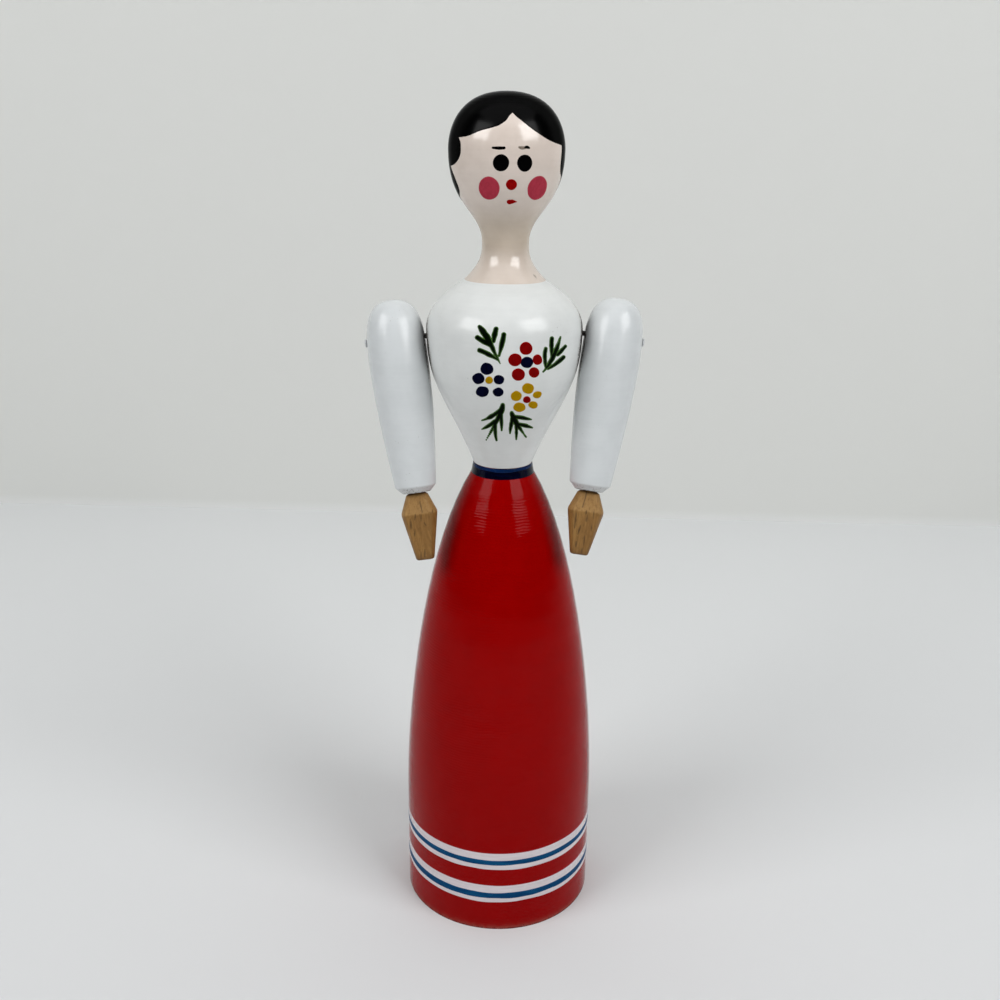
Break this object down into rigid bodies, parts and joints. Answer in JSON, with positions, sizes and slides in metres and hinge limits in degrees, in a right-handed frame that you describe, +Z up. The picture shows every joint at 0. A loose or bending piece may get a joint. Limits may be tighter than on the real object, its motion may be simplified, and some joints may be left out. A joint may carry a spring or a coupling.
{
  "type": "peg wooden doll",
  "caption": "Turned wooden standing doll with a bell skirt, painted blouse and face, and barrel sleeves with plain hands that swing on shoulder pins.",
  "frame": {"origin": "on the body's turning axis, at the middle of the flat foot that the doll stands on", "axes": "+Z up along the turning axis, -Y the way the face and the painted blouse front look, +X towards the doll's own left arm"},
  "size_m": [0.0746, 0.055, 0.23],
  "materials": {
    "red_enamel": "gloss red enamel over turned wood",
    "white_enamel": "gloss white enamel over turned wood",
    "skin_enamel": "gloss pale pink enamel over turned wood",
    "bare_beech": "bare handled beech",
    "pin_steel": "dull steel wire nail"
  },
  "bodies": {
    "body": {"skirt": "red_enamel", "torso": "white_enamel", "head": "skin_enamel", "left_pin": "pin_steel", "right_pin": "pin_steel"},
    "left_arm": {"left_arm": "white_enamel", "left_hand": "bare_beech"},
    "right_arm": {"right_arm": "white_enamel", "right_hand": "bare_beech"}
  },
  "joints": [
    {"name": "left_shoulder", "type": "hinge", "parent": "body", "child": "left_arm", "pos_m": [0.02894, 0, 0.16845], "axis": [-0.9901, 0, 0.1405], "continuous": true},
    {"name": "right_shoulder", "type": "hinge", "parent": "body", "child": "right_arm", "pos_m": [-0.02878, 0, 0.16728], "axis": [-0.9901, 0, -0.1405], "continuous": true}
  ]
}
